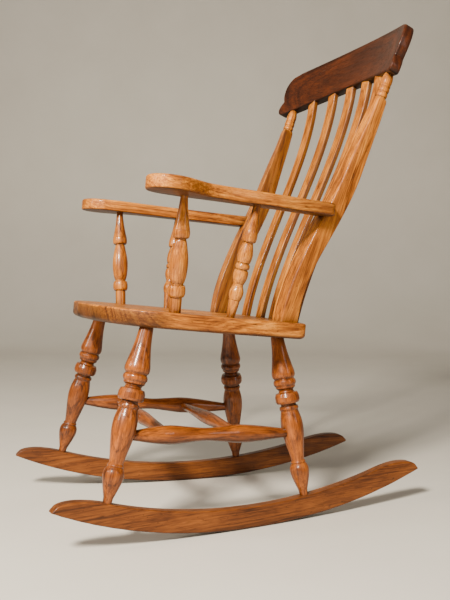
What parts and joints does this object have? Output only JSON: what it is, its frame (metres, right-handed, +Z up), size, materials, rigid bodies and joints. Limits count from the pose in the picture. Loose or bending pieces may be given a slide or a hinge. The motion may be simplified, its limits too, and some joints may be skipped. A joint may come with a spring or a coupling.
{
  "type": "rocking chair",
  "caption": "Wooden slat-back rocking chair with turned legs and stretchers, flat arms on turned supports, an arched crest rail and curved rockers.",
  "frame": {"origin": "on the floor, midway between the rockers and at the middle of their length", "axes": "+X towards the sitter's left, -Y the way the chair faces, +Z up"},
  "size_m": [0.6644, 0.8844, 1.1169],
  "materials": {
    "oak": "golden oak under satin varnish",
    "turned_oak": "orange-brown oak under glossy varnish",
    "crest_oak": "red-brown stain under glossy varnish",
    "peg_wood": "darker end-grain dowel, satin",
    "screw_steel": "dull aged steel"
  },
  "bodies": {
    "root": {"seat": "oak", "rocker_left": "turned_oak", "rocker_right": "turned_oak", "front_leg_left": "turned_oak", "front_leg_right": "turned_oak", "rear_leg_left": "turned_oak", "rear_leg_right": "turned_oak", "side_stretcher_left": "turned_oak", "side_stretcher_right": "turned_oak", "front_cross_stretcher": "turned_oak", "rear_cross_stretcher": "turned_oak", "back_post_left": "oak", "back_post_right": "oak", "slat_1": "oak", "slat_2": "oak", "slat_3": "oak", "slat_4": "oak", "slat_5": "oak", "crest_rail": "crest_oak", "arm_left": "oak", "arm_right": "oak", "arm_post_left": "oak", "arm_post_right": "oak", "arm_spindle_left": "oak", "arm_spindle_right": "oak", "rocker_pegs": "peg_wood", "crest_pegs": "peg_wood", "arm_screws": "screw_steel"}
  },
  "joints": []
}
